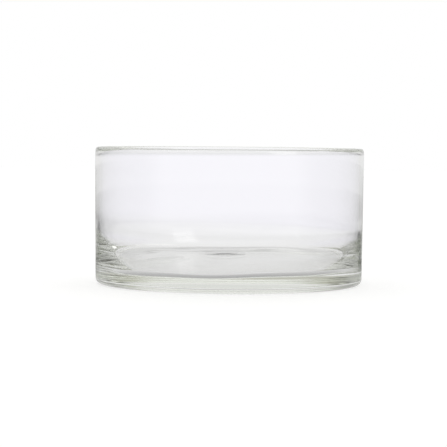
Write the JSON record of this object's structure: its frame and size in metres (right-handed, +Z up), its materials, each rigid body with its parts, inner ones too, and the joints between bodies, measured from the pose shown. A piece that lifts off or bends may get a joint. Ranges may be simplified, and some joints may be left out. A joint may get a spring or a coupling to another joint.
{
  "type": "floating candle bowl",
  "caption": "Low round bowl of clear glass with an upright thin wall, rounded rim and heavy base, to be filled with water for floating candles.",
  "frame": {"origin": "centre of the foot ring, on the surface that the bowl stands on", "axes": "+Z up along the bowl's axis, out of its mouth; the bowl is round, so X and Y are free"},
  "size_m": [0.1524, 0.1524, 0.0772],
  "materials": {
    "clear_glass": "clear, moulded and fire polished"
  },
  "bodies": {
    "root": {"glass_bowl": "clear_glass"}
  },
  "joints": []
}
